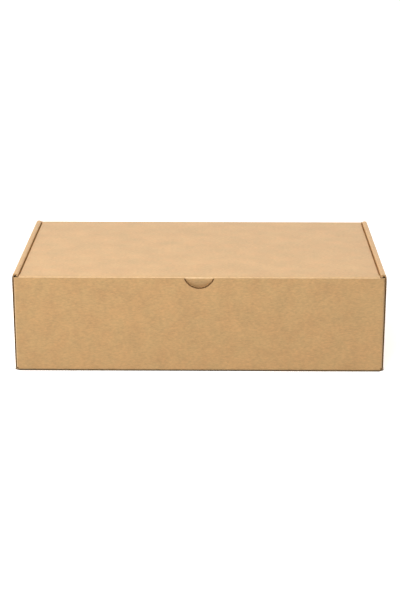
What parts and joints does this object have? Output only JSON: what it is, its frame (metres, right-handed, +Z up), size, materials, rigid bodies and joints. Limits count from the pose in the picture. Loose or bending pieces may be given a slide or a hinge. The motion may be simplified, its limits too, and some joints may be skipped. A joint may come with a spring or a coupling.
{
  "type": "closed cardboard box",
  "caption": "Low rectangular mailing box folded from one sheet of brown corrugated board, with double rolled side walls, a hinged lid that tucks in at the front, and a half-moon thumb notch.",
  "frame": {"origin": "middle of the box's footprint, on the surface that it stands on", "axes": "+X along the length of the front wall, to the right when seen from the front; +Y from the front wall to the hinged back wall; +Z up"},
  "size_m": [0.3532, 0.22, 0.0945],
  "materials": {
    "kraft_board": "matt natural brown kraft liner, faintly mottled"
  },
  "bodies": {
    "tray": {"tray": "kraft_board"},
    "lid": {"lid": "kraft_board"}
  },
  "joints": [
    {"name": "lid_hinge", "type": "hinge", "parent": "tray", "child": "lid", "pos_m": [0, 0.10966, 0.09216], "axis": [-1, 0, 0], "range_deg": [0, 180]}
  ]
}
